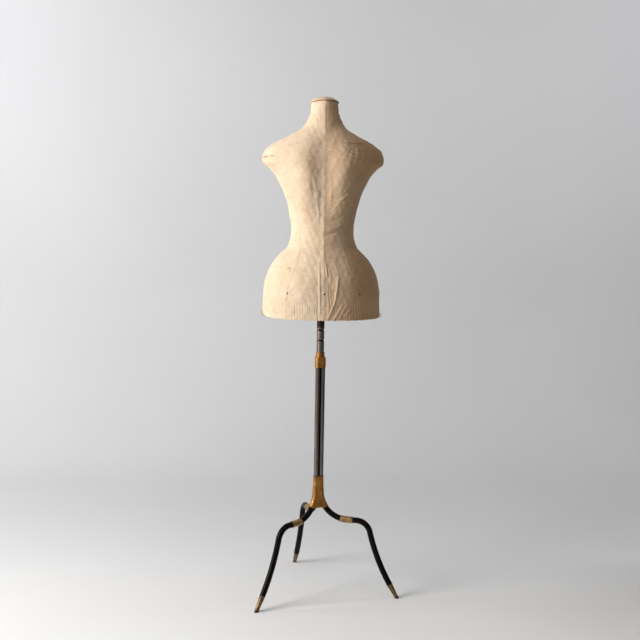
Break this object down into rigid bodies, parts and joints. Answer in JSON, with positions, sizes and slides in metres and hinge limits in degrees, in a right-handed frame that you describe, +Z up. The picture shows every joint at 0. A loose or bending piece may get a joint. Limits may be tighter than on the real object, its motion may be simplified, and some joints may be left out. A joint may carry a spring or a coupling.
{
  "type": "dress form mannequin",
  "caption": "Canvas-covered dress form on a three-legged steel stand with brass fittings; the torso slides on a grooved pole to set its height and turns on it.",
  "frame": {"origin": "centre of the bounding box's bottom face, on the floor; the post's axis stands at x 0.0307, y 0.0384", "axes": "+Z up along the post; the back of the form faces +Y, its front faces -Y, its own left is +X"},
  "size_m": [0.4608, 0.4538, 1.573],
  "materials": {
    "canvas": "unbleached canvas, aged",
    "papier_mache": "rough paper board",
    "wood": "bare softwood",
    "dark_band": "dark red-brown",
    "brass": "cast, tarnished",
    "dark_steel": "black-brown, worn",
    "iron": "dark, matte",
    "bright_steel": "scratched bare steel"
  },
  "bodies": {
    "stand": {"post_rod_1": "dark_steel", "leg_ferrule_1": "brass", "shin_rod_1": "dark_steel", "foot_tip_1": "brass", "post_rod_2": "dark_steel", "leg_ferrule_2": "brass", "shin_rod_2": "dark_steel", "foot_tip_2": "brass", "post_rod_3": "dark_steel", "leg_ferrule_3": "brass", "shin_rod_3": "dark_steel", "foot_tip_3": "brass", "hub_casting": "brass", "top_collar": "brass", "pole": "bright_steel"},
    "carriage": {"slide_sleeve": "brass", "sleeve_nut": "brass", "catch_pin": "bright_steel", "catch_spring": "bright_steel"},
    "catch_lever": {"catch_lever": "iron"},
    "torso": {"base_board": "wood", "swivel_flange": "iron", "flange_screw_1": "bright_steel", "flange_screw_2": "bright_steel", "flange_screw_3": "bright_steel", "flange_screw_4": "bright_steel", "shell_back": "papier_mache", "shell_front": "papier_mache", "cover_centre_back_left": "canvas", "cover_side_back_left": "canvas", "cover_centre_back_right": "canvas", "cover_side_back_right": "canvas", "cover_centre_front_left": "canvas", "cover_side_front_left": "canvas", "cover_centre_front_right": "canvas", "cover_side_front_right": "canvas", "arm_plate_left": "canvas", "arm_plate_right": "canvas", "tack_1": "iron", "tack_2": "iron", "tack_3": "iron", "tack_4": "iron", "tack_5": "iron", "tack_6": "iron", "neck_plug": "wood", "neck_band": "dark_band", "neck_cap": "canvas"}
  },
  "joints": [
    {"name": "height_slide", "type": "slide", "parent": "stand", "child": "carriage", "axis": [0, 0, 1], "range_m": [-0.0972, 0.0972]},
    {"name": "catch_hinge", "type": "hinge", "parent": "carriage", "child": "catch_lever", "pos_m": [0.03072, 0.05938, 0.94], "axis": [1, 0, 0], "range_deg": [0, 8], "stiffness_Nm_per_rad": 0.5, "springref_deg": -17.19},
    {"name": "torso_swivel", "type": "hinge", "parent": "carriage", "child": "torso", "pos_m": [0.03072, 0.03838, 0.955], "axis": [0, 0, 1], "continuous": true}
  ]
}
